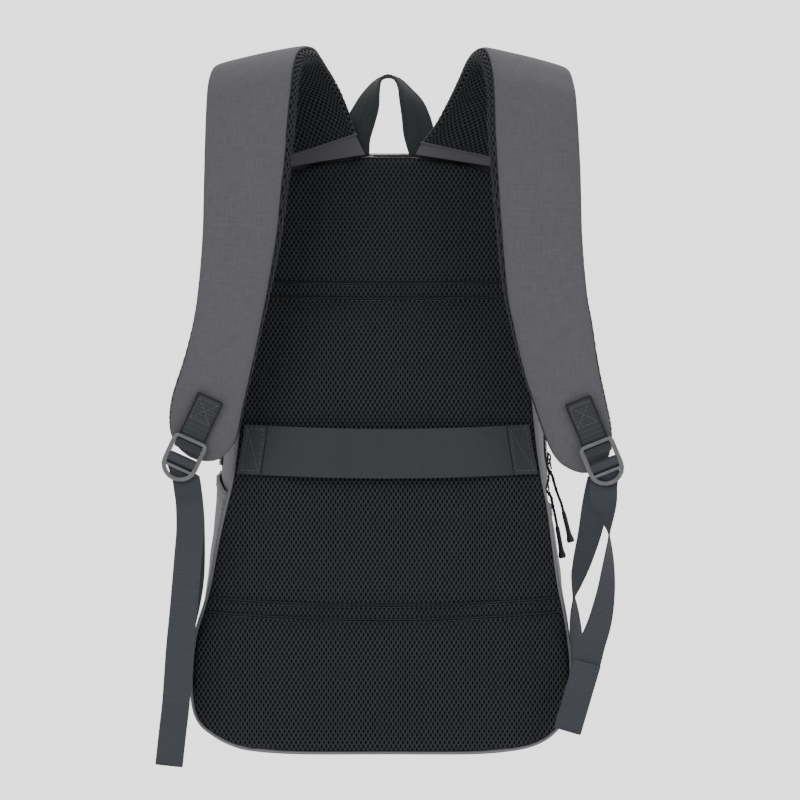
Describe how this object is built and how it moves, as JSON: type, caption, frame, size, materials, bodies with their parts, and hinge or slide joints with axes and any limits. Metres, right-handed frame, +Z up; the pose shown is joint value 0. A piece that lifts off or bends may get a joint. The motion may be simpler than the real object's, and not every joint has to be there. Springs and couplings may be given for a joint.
{
  "type": "laptop backpack",
  "caption": "Laptop backpack with a padded mesh back, curved shoulder straps, haul loop, luggage band, side pockets and adjuster webbing.",
  "frame": {"origin": "under the top of the haul loop, where a hook or a hand holds the pack", "axes": "+Z up, -Y out of the worn side with the shoulder straps, +Y out of the front, +X to the right as seen from the worn side"},
  "size_m": [0.3544, 0.276, 0.5455],
  "materials": {
    "polyester": "woven, matte",
    "air_mesh": "knitted mesh, matte",
    "webbing": "ribbed webbing",
    "zip": "matte",
    "slider": "satin",
    "grip": "matte",
    "buckle": "satin"
  },
  "bodies": {
    "root": {"adjuster_webbing_left": "webbing", "adjuster_webbing_right": "webbing", "back_panel": "air_mesh", "back_piping": "polyester", "front_panel": "polyester", "gusset_bottom": "polyester", "gusset_left": "polyester", "gusset_right": "polyester", "gusset_top": "polyester", "haul_loop": "webbing", "luggage_band": "webbing", "pocket_hem_left": "polyester", "pocket_hem_right": "polyester", "pull_cord_lower": "zip", "pull_cord_upper": "zip", "pull_grip_lower": "grip", "pull_grip_upper": "grip", "side_pocket_left": "polyester", "side_pocket_right": "polyester", "strap_buckle_left": "buckle", "strap_buckle_right": "buckle", "strap_face_left": "polyester", "strap_face_right": "polyester", "strap_pad_left": "air_mesh", "strap_pad_right": "air_mesh", "strap_tab_left": "webbing", "strap_tab_right": "webbing", "strap_yoke_left": "polyester", "strap_yoke_right": "polyester", "zip_coil": "zip", "zip_slider_lower": "slider", "zip_slider_upper": "slider", "zip_tape": "zip"}
  },
  "joints": []
}
